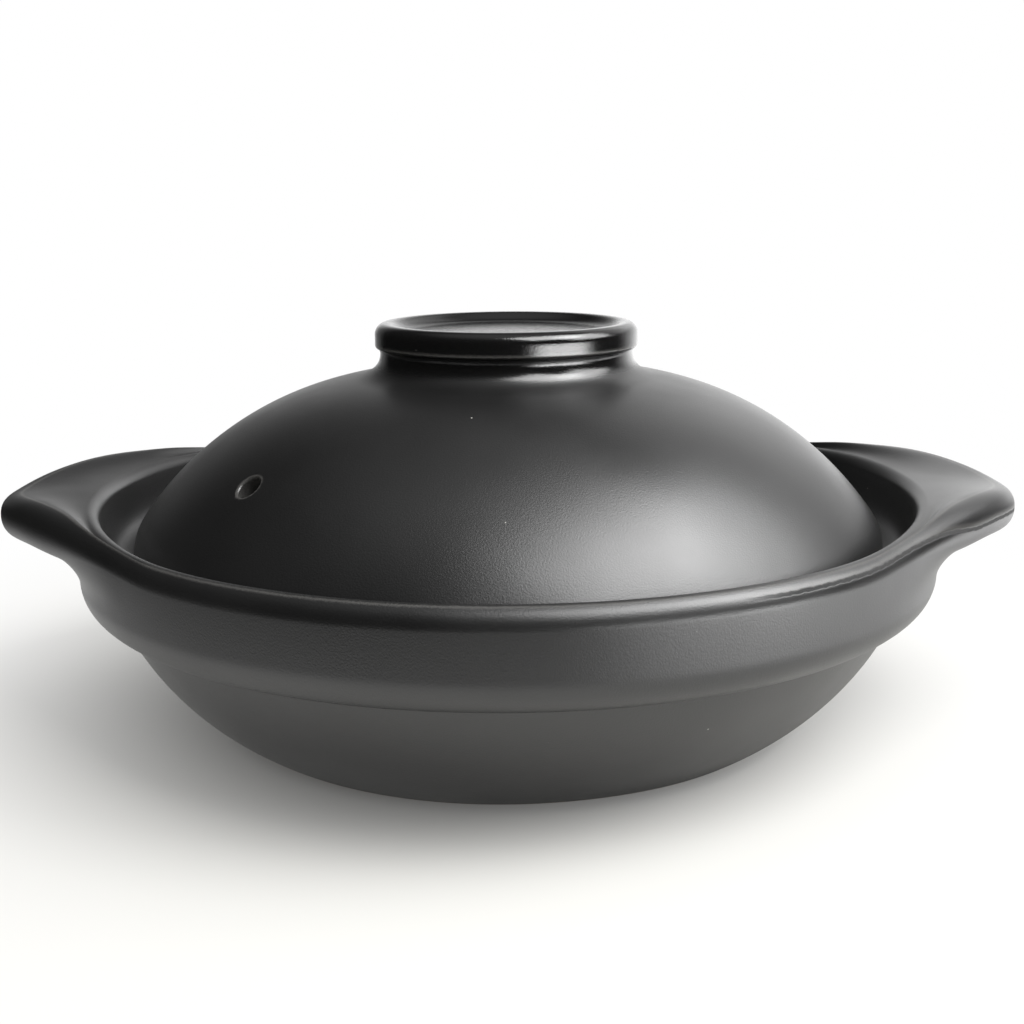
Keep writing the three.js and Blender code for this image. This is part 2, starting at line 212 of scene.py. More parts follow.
class LidSizes(bpy.types.PropertyGroup):
    """Sizes of the lid: flat edge, shoulder, dome, ring knob and steam vent."""

    radius: length("Lid Radius", "Outside of the lid's edge", lid_high.x)
    bottom: length("Lid Bottom", "Height of the lid's flat edge", lid_low.z)
    knob_top: length("Knob Top", "Height of the top of the knob", lid_high.z)
    thickness: length("Thickness", "Wall of the dome", 7 * MM)
    edge_width: length("Edge Width", "Width of the flat edge", 8 * MM)
    edge_corner: length("Edge Corner", "Corner of the flat edge", 0.9 * MM)
    dome_arc: length("Dome Arc", "Radius of the dome in section", 97.5 * MM)
    shoulder_arc: length("Shoulder Arc", "Radius of the shoulder", 16 * MM)
    shoulder_turn: turn("Shoulder Turn", "How far the shoulder turns in", 36)
    knob_radius: length("Knob Radius", "Outside of the knob", 38.8 * MM)
    knob_band: length("Knob Band", "Height of the knob's upright band", 7.4 * MM)
    knob_edge: length("Knob Edge", "Round on the knob's upper edge", 3.2 * MM)
    knob_lower_edge: length("Knob Lower Edge", "Round on the knob's lower edge", 1.1 * MM)
    knob_neck: length("Knob Neck", "How far the neck is set in", 1.5 * MM)
    knob_cove: length("Knob Cove", "Width of the sweep from neck to dome", 8.5 * MM)
    cove_fullness: share("Cove Fullness", "How round that sweep is", 0.6)
    knob_lip: length("Knob Lip", "Width of the lip round the dish", 3.8 * MM)
    dish_depth: length("Dish Depth", "Depth of the dish in the knob", 2.8 * MM)
    dish_fillet: length("Dish Fillet", "Width of the dish's sloping side", 8 * MM)
    dish_ease: share("Dish Ease", "How softly that side starts and ends", 0.35)
    hollow_radius: length("Hollow Radius", "Hollow under the knob", 25 * MM)
    hollow_depth: length("Hollow Depth", "Depth of that hollow", 8 * MM)
    hollow_corner: length("Hollow Corner", "Corner of that hollow", 4 * MM)
    vent_diameter: length("Vent Diameter", "Bore of the steam vent", 7 * MM)
    vent_flare: length("Vent Flare", "Rounded edge of the vent", 0.7 * MM)
    vent_inset: length("Vent Inset", "From the lid's edge in to the vent", 20 * MM)
    vent_turn: turn("Vent Place", "Where the vent sits, counted from the right handle", 222.4)
    unevenness: length("Unevenness", "Height of the slow unevenness of a hand-worked shape", 0.2 * MM)
    uneven_width: length("Uneven Width", "Width of that unevenness", 40 * MM)
    around: count("Steps Around", "Sections once round the lid", 288)


class GlazeLook(bpy.types.PropertyGroup):
    """Colours and texture of the black glaze and the bare clay."""

    black: colour("Black", "Glaze where it lies thick", "#0a0a0a")
    soft_black: colour("Soft Black", "Glaze in the cloudy lighter patches", "#121212")
    # Also painted on as a sheen in the band above the mould seam
    thin: colour("Thin Glaze", "Glaze where it runs off an edge", "#4b4a48")
    speck: colour("Speck", "Tiny pale specks in the glaze", "#a9a7a2")
    clay: colour("Bare Clay", "Unglazed clay", "#b3aa9b")
    clay_dark: colour("Dark Clay", "Grit and smoke marks in the bare clay", "#84796b")
    roughness: share("Roughness", "Mean roughness of the satin glaze", 0.36)
    cloud: length("Cloud Size", "Size of the cloudy patches", 22 * MM)
    knob_roughness: share("Knob Roughness", "Roughness of the glossier knob", 0.15)
    gloss_blend: length("Gloss Blend", "Height over which satin turns glossy, either way", 2 * MM)
    # The grain and the specks of a fired glaze are finer than these, which are as coarse as they need to show
    grain: length("Grain Size", "Size of the fine grain that breaks up the shine", 0.45 * MM)
    grain_height: length("Grain Height", "Height of that grain", 0.045 * MM)
    # The seam, and the sheen painted above it, show on this stretch only, which faces the key lamp
    seam_place: turn("Seam Place", "Middle of the mould seam's visible stretch, from the right handle", -31)
    seam_jag: length("Seam Jag", "Size of the jags in the mould seam", 2 * MM)
    seam_depth: length("Seam Depth", "Depth of the mould seam's line", 0.07 * MM)
    speck_spacing: length("Speck Spacing", "Mean distance between pale specks", 9 * MM)
    speck_size: length("Speck Size", "Radius of a pale speck", 0.3 * MM)
    clay_grit: length("Clay Grit", "Grit size of the bare clay", 0.8 * MM)
    grit_height: length("Grit Height", "Height of that grit", 0.1 * MM)


class StageLook(bpy.types.PropertyGroup):
    """Floor, backdrop and lamps of the studio."""

    floor: colour("Floor", "Matte pale table", "#cfcec9")
    # A card's tooth is finer than this, which is as coarse as it needs to show
    tooth: length("Tooth", "Size of the card's fine tooth", 2 * MM)
    tooth_height: length("Tooth Height", "Height of that tooth", 0.1 * MM)
    backdrop: share("Backdrop", "Brightness of the pale backdrop", 1.0)
    fill: number("Fill", "Soft light from overhead", 1.2)
    room: share("Room", "Brightness of the dim room in reflections", 0.014)
    ceiling: share("Ceiling", "Brightness of the ceiling in reflections", 0.3)
    back_wall: number("Back Wall", "Brightness of the lit wall behind the pot, in reflections", 1.5)
    dim_wall: number("Dim Wall", "Brightness of the rest of that wall, in reflections", 0.2)
    near_floor: share("Near Floor", "Brightness of the floor round the pot, in reflections", 0.95)
    bright_floor: number("Bright Floor", "Brightness of the floor on the right, in reflections", 3.6)
    lamp_pool: number("Lamp Pool", "Brightness of the pool of light in front on the right, in reflections", 8)
    key_power: power("Key Power", "Big soft lamp in front on the right", 6.5)
    side_power: power("Side Power", "Lower soft lamp on the right", 5.0)
    back_power: power("Back Power", "Weak soft lamp behind on the right", 0.5)


class ClayPotSettings(bpy.types.PropertyGroup):
    """Everything that the clay pot is made from."""

    pot: PointerProperty(type=PotSizes)
    lid: PointerProperty(type=LidSizes)
    glaze: PointerProperty(type=GlazeLook)
    stage: PointerProperty(type=StageLook)


def point(r, z):
    return Vector((r, z))


def mix(a, b, t):
    return a + (b - a) * t


def smooth(value, start, end):
    t = min(1, max(0, (value - start) / (end - start)))
    return t * t * (3 - 2 * t)


def arc(centre, radius, start, end, steps, squareness=2):
    """Points on an arc: of a circle at squareness 2, and ever more of a rounded square above it."""
    points = []
    for i in range(steps + 1):
        angle = mix(start, end, i / steps)
        way = point(math.cos(angle), math.sin(angle))
        full = (abs(way.x) ** squareness + abs(way.y) ** squareness) ** (-1 / squareness)
        points.append(centre + way * radius * full)
    return points


def sweep(a, b, c, d, steps):
    return interpolate_bezier(a, b, c, d, steps + 1)


def straight(a, b, steps):
    return [a.lerp(b, i / steps) for i in range(steps + 1)]


def arc_centre(a, b, radius):
    """Centre of the arc of a given radius through two points, on the inner upper side of their chord."""
    chord = b - a
    back = math.sqrt(radius**2 - chord.length_squared / 4)
    return (a + b) / 2 + point(-chord.y, chord.x).normalized() * back


def angle_of(centre, p):
    return math.atan2(p.y - centre.y, p.x - centre.x)


class PotSection:
    """The pot's wall cut upright at any angle round the axis, as rows of labelled points."""

    def __init__(self, s):
        self.s = s
        foot, top = point(s.foot_radius, 0), point(s.band_radius - s.step_inset, s.step_height)
        self.bowl = arc_centre(foot, top, s.bowl_arc)
        self.bowl_top = top
        across = point(math.cos(s.handle_root), math.sin(s.handle_root))
        root = across * s.band_radius
        root_lead = root - point(-across.y, across.x) * s.root_sweep
        tip = point(s.handle_tip, 0)
        outline = sweep(tip, point(tip.x, s.tip_fullness), root_lead, root, steps=OUTLINE_STEPS)
        self.outline_angles = [math.atan2(p.y, p.x) for p in outline]
        self.outline_reaches = [p.length for p in outline]

    def reach(self, angle):
        return float(np.interp(angle, self.outline_angles, self.outline_reaches))

    def swell(self, angle):
        return smooth(-angle, -self.s.rise_start, -self.s.rise_end)

    def edge_height(self, angle):
        droop = self.s.tip_droop * (1 - smooth(angle, 0, self.s.droop_end))
        return self.s.rim_height + self.s.handle_rise * self.swell(angle) - droop

    def lower(self):
        s = self.s
        ring_inner = s.foot_radius - s.foot_ring
        recess_edge = point(ring_inner - s.foot_recess, s.foot_recess)
        bowl_start = point(s.foot_radius + s.foot_edge, s.foot_edge)
        start, end = angle_of(self.bowl, bowl_start), angle_of(self.bowl, self.bowl_top)
        bowl = arc(self.bowl, s.bowl_arc, start, end, steps=28)
        foot_out, foot_corner = point(s.foot_radius - s.foot_edge, 0), point(s.foot_radius, 0)
        band_height = s.step_height + s.step_rise + s.band_arc * math.sin(s.band_turn)
        band = point(s.band_radius - s.band_arc, band_height)
        return [
            ("recess", straight(point(0, s.foot_recess), recess_edge, steps=4)),
            ("foot", straight(point(ring_inner, 0), foot_out, steps=3)),
            ("foot_edge", sweep(foot_out, foot_corner, foot_corner, bowl[0], steps=4)[1:-1]),
            ("bowl", bowl),
            ("band_round", arc(band, s.band_arc, -s.band_turn, 0, steps=12)),
        ]

    def nose_share(self, angle):
        """How far the edge has turned from the rim's roll into a handle's nose."""
        return smooth(self.reach(angle) - self.s.band_radius, 0, self.s.nose_blend)

    def crest_turn(self, angle):
        return mix(self.s.crest_turn, QUARTER_TURN, self.nose_share(angle))

    def crest_roll(self, angle):
        return mix(self.s.crest_roll, self.s.handle_crest_roll, self.swell(angle))

    def crest_centre(self, angle):
        s, roll = self.s, self.crest_roll(angle)
        radius = s.band_radius - s.rim_roll + (s.rim_roll - s.crest_roll) * math.cos(s.crest_turn)
        wider = (roll - s.crest_roll) * math.cos(s.funnel_turn)
        return point(radius + wider, s.rim_height - roll + s.crest_rise * self.swell(angle))

    def upper(self, angle, wall_foot):
        s = self.s
        out, turned_to = self.nose_share(angle), self.crest_turn(angle)
        roll = mix(s.rim_roll, s.nose_radius, out)
        lift = (s.rim_roll - s.crest_roll) * (1 - math.sin(s.crest_turn)) * (1 - out)
        centre = point(self.reach(angle) - roll, self.edge_height(angle) + lift - roll)
        squareness = mix(2, s.nose_squareness, out)
        nose = arc(centre, roll, -out * s.nose_tuck, turned_to, steps=24, squareness=squareness)
        under = nose[0]
        rise = under.y - wall_foot.y
        back = (under.x - wall_foot.x) * s.underside_sweep
        wall_lead = point(wall_foot.x, wall_foot.y + rise * s.wall_lead)
        drop = rise * (1 - s.wall_lead) * (1 - out) + back * s.underside_drop
        underside = sweep(wall_foot, wall_lead, point(under.x - back, under.y - drop), under, steps=14)
        face = nose[-1]
        crest = arc(self.crest_centre(angle), self.crest_roll(angle), turned_to, QUARTER_TURN, steps=1)[0]
        inward = point(-math.sin(turned_to), math.cos(turned_to)) * (face - crest).length / 3
        top = sweep(face, face + inward, crest - inward, crest, steps=8)
        return [("wall", underside[1:]), ("nose", nose[1:]), ("top", top[1:])]

    def inner(self, angle):
        s = self.s
        roll, plain = self.crest_centre(angle), self.crest_centre(QUARTER_TURN)
        seat_height = s.rim_height - s.seat_depth
        funnel_drop = s.seat_depth - s.crest_roll * (1 - math.sin(s.funnel_turn))
        seat_radius = plain.x - s.crest_roll * math.cos(s.funnel_turn) - funnel_drop * math.tan(s.funnel_turn)
        corner = s.seat_corner
        inside = s.bowl_arc - s.wall
        floor_height = s.foot_recess + s.floor
        wall_turn = math.acos((s.seat_inner - corner - self.bowl.x) / inside)
        floor_turn = math.asin((self.bowl.y - floor_height - s.floor_fillet) / inside)
        bowl = arc(self.bowl, inside, -wall_turn, -floor_turn, steps=18)
        bend = point(bowl[-1].x - s.floor_fillet * math.tan(floor_turn), floor_height)
        floor_start = point(bend.x - (bend - bowl[-1]).length, floor_height)
        rolled = arc(roll, self.crest_roll(angle), self.crest_turn(angle), math.pi - s.wall_lean, steps=14)
        wall_lead = rolled[-1] - point(math.sin(s.wall_lean), math.cos(s.wall_lean)) * s.cove_drop
        seat_out = point(seat_radius - corner, seat_height)
        seat_in = point(s.seat_inner + corner, seat_height)
        cove_lead = point(seat_out.x + s.cove_foot, seat_height)
        lip, lip_foot = point(s.seat_inner, seat_height), point(s.seat_inner, seat_height - corner)
        return [
            ("crest", rolled[1:]),
            ("funnel", sweep(rolled[-1], wall_lead, cove_lead, seat_out, steps=14)[1:-1]),
            ("seat", straight(seat_out, seat_in, steps=3)),
            ("lip", sweep(seat_in, lip, lip, lip_foot, steps=4)[1:]),
            ("inside", bowl),
            ("fillet", sweep(bowl[-1], bend, bend, floor_start, steps=6)[1:]),
            ("bottom", straight(floor_start, point(0, floor_height), steps=5)[1:]),
        ]

    def at(self, angle):
        lower = self.lower()
        return [*lower, *self.upper(angle, lower[-1][1][-1]), *self.inner(angle)]


class LidSection:
    """The lid's wall cut upright: the same at every angle."""

    def __init__(self, s):
        self.s = s
        self.shoulder = point(s.radius - s.shoulder_arc, s.bottom + s.edge_corner)
        way = point(math.cos(s.shoulder_turn), math.sin(s.shoulder_turn))
        self.dome = self.shoulder - way * (s.dome_arc - s.shoulder_arc)

    def at(self, angle):
        s = self.s
        inside = s.dome_arc - s.thickness
        inner = s.radius - s.edge_width
        hollow_top = self.dome.y + inside + s.hollow_depth
        hollow_side = point(s.hollow_radius, hollow_top - s.hollow_corner)
        hollow_in = point(s.hollow_radius - s.hollow_corner, hollow_top)
        hollow_bend = point(s.hollow_radius, hollow_top)
        start = math.acos((s.hollow_radius + s.hollow_corner - self.dome.x) / inside)
        under = arc(self.dome, inside, start, math.acos((inner - self.dome.x) / inside), steps=26)
        corner = s.edge_corner
        edge_in, edge_out = inner + corner, s.radius - corner
        corner_in, corner_out = point(edge_in, s.bottom + corner), point(edge_out, s.bottom + corner)
        band_foot = s.knob_top - s.knob_band
        neck = point(s.knob_radius - s.knob_neck, band_foot - s.knob_lower_edge)
        dome_end = math.acos((neck.x + s.knob_cove - self.dome.x) / s.dome_arc)
        dome = arc(self.dome, s.dome_arc, s.shoulder_turn, dome_end, steps=40)
        lead = s.knob_cove * s.cove_fullness
        dome_lead = dome[-1] + point(-math.sin(dome_end), math.cos(dome_end)) * lead
        neck_lead = point(neck.x, mix(neck.y, dome[-1].y, s.cove_fullness))
        lower_edge = point(s.knob_radius - s.knob_lower_edge, band_foot + s.knob_lower_edge)
        upper_edge = point(s.knob_radius - s.knob_edge, s.knob_top - s.knob_edge)
        band = straight(point(s.knob_radius, lower_edge.y), point(s.knob_radius, upper_edge.y), steps=4)
        lip = point(s.knob_radius - s.knob_lip, s.knob_top)
        dish = point(lip.x - s.dish_fillet, s.knob_top - s.dish_depth)
        middle = mix(lip.x, dish.x, s.dish_ease)
        return [
            ("hollow", straight(point(0, hollow_top), hollow_in, steps=3)),
            ("hollow_side", sweep(hollow_in, hollow_bend, hollow_bend, hollow_side, steps=5)[1:]),
            ("under", under),
            ("edge_in", arc(corner_in, corner, math.pi, 3 * QUARTER_TURN, steps=4)),
            ("edge", straight(point(edge_in, s.bottom), point(edge_out, s.bottom), steps=3)[1:]),
            ("edge_out", arc(corner_out, corner, -QUARTER_TURN, 0, steps=4)[1:]),
            ("shoulder", arc(self.shoulder, s.shoulder_arc, 0, s.shoulder_turn, steps=12)[1:]),
            ("dome", dome[1:]),
            ("cove", sweep(dome[-1], dome_lead, neck_lead, neck, steps=14)[1:]),
            ("knob_edge", arc(lower_edge, s.knob_lower_edge, -QUARTER_TURN, 0, steps=6)),
            ("band", band[1:]),
            ("upper_edge", arc(upper_edge, s.knob_edge, 0, QUARTER_TURN, steps=10)[1:]),
            ("lip", [lip]),
            ("dish_side", sweep(lip, point(middle, lip.y), point(middle, dish.y), dish, steps=12)[1:]),
            ("dish", straight(dish, point(0, dish.y), steps=4)[1:]),
        ]


def turned(section, around, bare, edges, wobble, seam=None):
    """A sheet wrapped round the axis, with each of its columns drawn to the section at that column's angle.
    Columns that mirror one another share a section.

    bare names the unglazed rows, edges the rows whose last point is an edge that the glaze runs off, and seam
    gives the place of the mould seam along a section.
    """
    bm = bmesh.new()
    edge_mm = bm.verts.layers.float.new("edge_mm")
    seam_mm = bm.verts.layers.float.new("seam_mm")
    labels = [label for label, points in section.at(0) for p in points]
    edge_rows = [i for i, label in enumerate(labels[:-1]) if label in edges and labels[i + 1] != label]
    rows = len(labels) - 1
    bmesh.ops.create_grid(bm, x_segments=around, y_segments=rows, size=0.5)
    cuts = {}
    for face in bm.faces:
        row = round((min(v.co.y for v in face.verts) + 0.5) * rows)
        face.smooth = True
        face.material_index = 1 if labels[row] in bare else 0
    for v in bm.verts:
        row, way = round((v.co.y + 0.5) * rows), v.co.x * FULL_TURN
        folded = round(math.atan2(abs(math.sin(way)), abs(math.cos(way))), 5)
        if folded not in cuts:
            points = [p for label, part in section.at(folded) for p in part]
            along = np.cumsum([0] + [(b - a).length for a, b in zip(points, points[1:])]) / MM
            to_edge = np.abs(along[:, None] - along[edge_rows]).min(1)
            to_seam = along - (seam(folded, along, labels) if seam else NO_SEAM)
            cuts[folded] = list(zip(points, to_edge.tolist(), to_seam.tolist()))
        p, v[edge_mm], v[seam_mm] = cuts[folded][row]
        v.co = (p.x * math.cos(way), p.x * math.sin(way), p.y)
        v.co += wobble(v.co)
    bmesh.ops.remove_doubles(bm, verts=bm.verts, dist=WELD)
    bmesh.ops.recalc_face_normals(bm, faces=bm.faces)
    return bm


def finished(name, bm, materials):
    """The bmesh as a named object in the scene, with its materials."""
    mesh = bpy.data.meshes.new(name)
    bm.to_mesh(mesh)
    bm.free()
    for material in materials:
        mesh.materials.append(material)
    made = bpy.data.objects.new(name, mesh)
    bpy.context.scene.collection.objects.link(made)
    return made


def uneven(height, width):
    """A slow unevenness, as a shape worked by hand has. The axis, where the sheet closes, stays in place."""

    def move(at):
        out = Vector((at.x, at.y, 0))
        if out.length < 1 * MM:
            return Vector()
        return out.normalized() * noise.noise(at / width) * height

    return move


def add(tree, kind, inputs=(), **settings):
    """Adds a node with its settings. Inputs go by name or in order: a node or a socket is linked, and
    anything else is the input's value."""
    node = tree.nodes.new(kind)
    for name, value in settings.items():
        setattr(node, name, value)
    for name, value in inputs.items() if isinstance(inputs, dict) else enumerate(inputs):
        if isinstance(value, bpy.types.Node):
            value = value.outputs[0]
        if isinstance(value, bpy.types.NodeSocket):
            tree.links.new(value, node.inputs[name])
        else:
            node.inputs[name].default_value = value
    return node


def towards(tree, way, target, spread):
    """How far a way points to a target: 0 up to the spread's first cosine, 1 from its second."""
    facing = add(tree, "ShaderNodeVectorMath", (way, target), operation="DOT_PRODUCT").outputs["Value"]
    return add(tree, "ShaderNodeMapRange", (facing, *spread), **SOFT_STEP)


def new_material(name):
    material = bpy.data.materials.new(name)
    material.use_nodes = True
    material.node_tree.nodes.clear()
    return material, material.node_tree


def rgba(rgb):
    return (*rgb, 1)


def pale_specks(tree, at, look):
    """Pinhead specks, in about half of the cells they could lie in."""
    cells = add(tree, "ShaderNodeTexVoronoi", {"Vector": at, "Scale": 1 / look.speck_spacing})
    radius = look.speck_size / look.speck_spacing
    fall = (cells.outputs["Distance"], radius * 0.5, radius, 1.0, 0.0)
    dot = add(tree, "ShaderNodeMapRange", fall, **SOFT_STEP)
    kept = add(tree, "ShaderNodeMath", (cells.outputs["Color"], EMPTY_CELLS), operation="GREATER_THAN")
    return add(tree, "ShaderNodeMath", (dot, kept), operation="MULTIPLY")


def on_seam(tree, at, look):
    """The mould seam, as far as it shows: how deep in its line, and how far in the band above it, where the
    glaze was trimmed thinner and a paler sheen is painted on the stretch that faces the key lamp.
    """
    seam = add(tree, "ShaderNodeAttribute", attribute_name="seam_mm").outputs["Fac"]
    jag = add(tree, "ShaderNodeTexNoise", {"Vector": at, "Scale": 1 / look.seam_jag, "Detail": 4.0})
    middle = add(tree, "ShaderNodeMath", (seam, SEAM_WANDER / 2), operation="SUBTRACT")
    above = add(tree, "ShaderNodeMath", (jag, SEAM_WANDER, middle), operation="MULTIPLY_ADD")
    off = add(tree, "ShaderNodeMath", (above,), operation="ABSOLUTE")
    line = add(tree, "ShaderNodeMapRange", (off, *SEAM_LINE, 1.0, 0.0), **SOFT_STEP)
    # The band above the seam: glaze trimmed thinner, and a painted sheen that greys it
    started = add(tree, "ShaderNodeMapRange", (above, *SCRAPED_AND_SHEEN_FROM), **SOFT_STEP)
    not_ended = add(tree, "ShaderNodeMapRange", (above, *SCRAPED_AND_SHEEN_TO, 1.0, 0.0), **SOFT_STEP)
    scraped_and_sheen = add(tree, "ShaderNodeMath", (started, not_ended), operation="MULTIPLY")
    level = add(tree, "ShaderNodeVectorMath", (at, (1, 1, 0)), operation="MULTIPLY")
    way = add(tree, "ShaderNodeVectorMath", (level,), operation="NORMALIZE")
    here = towards(tree, way, (math.cos(look.seam_place), math.sin(look.seam_place), 0.0), SEAM_SHOWS)
    return [add(tree, "ShaderNodeMath", (amount, here), operation="MULTIPLY") for amount in (line, scraped_and_sheen)]


def black_glaze(name, look, glossy_from=None):
    """Satin black stoneware glaze, dipped and fired.

    A soft broad shine broken by fine grain, cloudy blacks, a few pale specks, thinner and greyer glaze where
    it runs off an edge, and a ragged line where the mould's seam was trimmed, with a painted sheen greying
    the glaze above it where the key lamp falls. From a given height up it is glossier.
    """
    material, tree = new_material(name)
    at = add(tree, "ShaderNodeTexCoord").outputs["Object"]
    cloud = add(tree, "ShaderNodeTexNoise", {"Vector": at, "Scale": 1 / look.cloud, "Detail": 5.0})
    grain = add(tree, "ShaderNodeTexNoise", {"Vector": at, "Scale": 1 / look.grain, "Detail": 2.0})
    line, scraped_and_sheen = on_seam(tree, at, look)
    edge = add(tree, "ShaderNodeAttribute", attribute_name="edge_mm").outputs["Fac"]
    ragged = add(tree, "ShaderNodeMath", (edge, grain), operation="ADD")
    run_off = add(tree, "ShaderNodeMapRange", (ragged, *RUN_OFF, RUN_OFF_SHARE, 0.0), **SOFT_STEP)
    # Painted sheen: the band above the seam takes the run-off grey on the stretch facing the key lamp, so the
    # mask below holds both real run-off and that painted sheen
    scraped_and_sheen_share = add(tree, "ShaderNodeMath", (scraped_and_sheen, SCRAPED_AND_SHEEN_SHARE), operation="MULTIPLY")
    thin = add(tree, "ShaderNodeMath", (run_off, scraped_and_sheen_share), operation="MAXIMUM")
    tone = rgba(look.black)
    coats = ((cloud, look.soft_black), (thin, look.thin), (pale_specks(tree, at, look), look.speck))
    for amount, coat in coats:
        layers = {AMOUNT: amount, FROM_COLOUR: tone, TO_COLOUR: rgba(coat)}
        tone = add(tree, "ShaderNodeMix", layers, data_type="RGBA").outputs[MIXED_COLOUR]
    patch_scale = 1 / (look.cloud * PATCH_PER_CLOUD)
    patch = add(tree, "ShaderNodeTexNoise", {"Vector": at, "Scale": patch_scale, "Detail": 3.0})
    swing = (look.roughness - ROUGHNESS_SWING, look.roughness + ROUGHNESS_SWING)
    roughness = add(tree, "ShaderNodeMapRange", (patch, *PATCH_CONTRAST, *swing), **SOFT_STEP)
    if glossy_from is not None:
        height = add(tree, "ShaderNodeSeparateXYZ", (at,)).outputs["Z"]
        blend = (height, glossy_from - look.gloss_blend, glossy_from + look.gloss_blend)
        glossy = add(tree, "ShaderNodeMapRange", blend, **SOFT_STEP)
        satin_to_gloss = {AMOUNT: glossy, FROM: roughness, TO: look.knob_roughness}
        roughness = add(tree, "ShaderNodeMix", satin_to_gloss)
    bump = add(tree, "ShaderNodeBump", {"Height": grain, "Strength": 1.0, "Distance": look.grain_height})
    groove = {"Height": line, "Strength": 1.0, "Distance": look.seam_depth, "Normal": bump}
    surface = {
        "Base Color": tone,
        "Roughness": add(tree, "ShaderNodeMix", {AMOUNT: line, FROM: roughness, TO: SEAM_ROUGHNESS}),
        "IOR": 1.8,
        "Normal": add(tree, "ShaderNodeBump", groove, invert=True),
    }
    add(tree, "ShaderNodeOutputMaterial", {"Surface": add(tree, "ShaderNodeBsdfPrincipled", surface)})
    return material


def bare_clay(name, look):
    """Unglazed stoneware wiped clean before firing: dry, pale and gritty, with darker smoke marks."""
    material, tree = new_material(name)
    at = add(tree, "ShaderNodeTexCoord").outputs["Object"]
    grit = add(tree, "ShaderNodeTexNoise", {"Vector": at, "Scale": 1 / look.clay_grit, "Detail": 4.0})
    smoke = add(tree, "ShaderNodeTexNoise", {"Vector": at, "Scale": 1 / look.cloud, "Detail": 3.0})
    smoky_grit = add(tree, "ShaderNodeMath", (grit, smoke), operation="MULTIPLY")
    clean = add(tree, "ShaderNodeMapRange", (smoky_grit, *SMOKE_CONTRAST), **SOFT_STEP)
    tones = {AMOUNT: clean, FROM_COLOUR: rgba(look.clay_dark), TO_COLOUR: rgba(look.clay)}
    relief = {"Height": grit, "Strength": 0.6, "Distance": look.grit_height}
    surface = {
        "Base Color": add(tree, "ShaderNodeMix", tones, data_type="RGBA").outputs[MIXED_COLOUR],
        "Roughness": 0.9,
        "IOR": 1.5,
        "Normal": add(tree, "ShaderNodeBump", relief),
    }
    add(tree, "ShaderNodeOutputMaterial", {"Surface": add(tree, "ShaderNodeBsdfPrincipled", surface)})
    return material


class CLAYPOT_OT_make_pot(bpy.types.Operator):
    """Makes the pot: bowl, band, rim, lid seat and two wing handles in one"""

    bl_idname = "clay_pot.make_pot"
    bl_label = "Make Pot"

    def execute(self, context):
        settings = context.scene.clay_pot
        sizes = settings.pot
        section = PotSection(sizes)

        def seam(angle, along, labels):
            out = section.nose_share(angle)
            rise = mix(sizes.seam_rise, sizes.nose_radius * sizes.nose_tuck, out)
            return along[labels.index("nose") - 1] + rise / MM

        bm = turned(
            section,
            sizes.around,
            bare={"recess", "foot", "foot_edge", "seat"},
            edges={"bowl", "nose"},
            seam=seam,
            wobble=uneven(sizes.unevenness, sizes.uneven_width),
        )
        glaze = black_glaze("black_glaze_pot", settings.glaze)
        pot = finished("glazed_pot", bm, [glaze, bare_clay("bare_clay_pot", settings.glaze)])
        pot.data.set_sharp_from_angle(angle=SHARP_EDGE)
        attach(pot, "pot")
        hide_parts("pot")
        return {"FINISHED"}


class CLAYPOT_OT_make_lid(bpy.types.Operator):
    """Makes the lid: dome, ring knob and steam vent in one"""

    bl_idname = "clay_pot.make_lid"
    bl_label = "Make Lid"

    def execute(self, context):
        settings = context.scene.clay_pot
        sizes = settings.lid
        section = LidSection(sizes)
        bm = turned(
            section,
            sizes.around,
            bare={"edge_in", "edge"},
            edges={"knob_edge"},
            wobble=uneven(sizes.unevenness, sizes.uneven_width),
        )
        neck_foot = sizes.knob_top - sizes.knob_band - sizes.knob_cove * sizes.cove_fullness
        glaze = black_glaze("black_glaze_lid", settings.glaze, glossy_from=neck_foot)
        lid = finished("glazed_lid", bm, [glaze, bare_clay("bare_clay_lid", settings.glaze)])
        cut_vent(context, lid, section, sizes)
        lid.data.set_sharp_from_angle(angle=SHARP_EDGE)
        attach(lid, "lid")
        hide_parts("lid")
        return {"FINISHED"}


